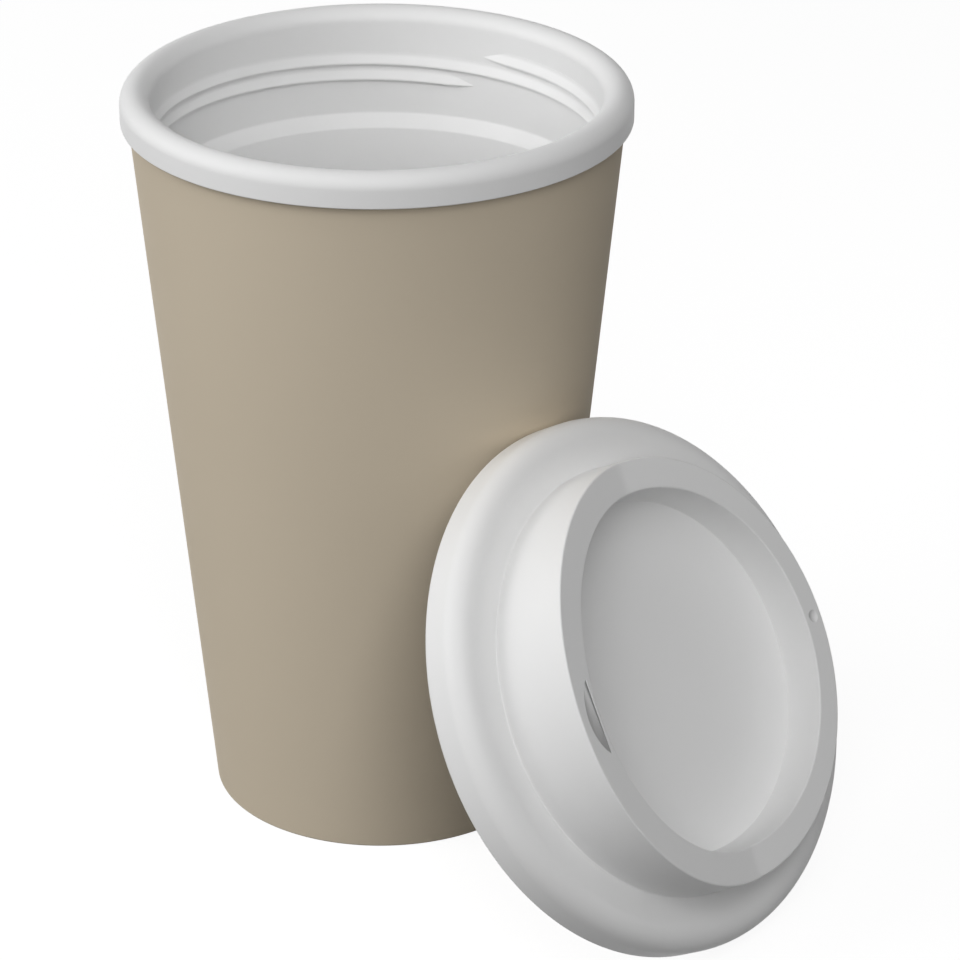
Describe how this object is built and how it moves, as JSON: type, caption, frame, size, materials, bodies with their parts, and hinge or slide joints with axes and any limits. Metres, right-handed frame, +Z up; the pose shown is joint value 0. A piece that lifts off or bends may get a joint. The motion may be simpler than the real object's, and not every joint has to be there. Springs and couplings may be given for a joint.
{
  "type": "insulated tumbler",
  "caption": "Double-wall drinking tumbler with a tapered outer shell, a white liner with a rolled rim and inner thread, and its twist-on drinking lid leaning on it.",
  "frame": {"origin": "centre of the cup's foot ring, on the surface that the cup stands on", "axes": "+Z up along the cup's axis; the lid leans on the cup at the +X -Y side and faces that way"},
  "size_m": [0.124, 0.1328, 0.1328],
  "materials": {
    "shell_plastic": "satin moulded, warm beige",
    "liner_plastic": "satin moulded, white",
    "lid_plastic": "satin moulded, white",
    "seal_silicone": "soft matt, milky"
  },
  "bodies": {
    "root": {"outer_shell": "shell_plastic", "inner_liner": "liner_plastic", "lid": "lid_plastic", "lid_seal": "seal_silicone"}
  },
  "joints": []
}
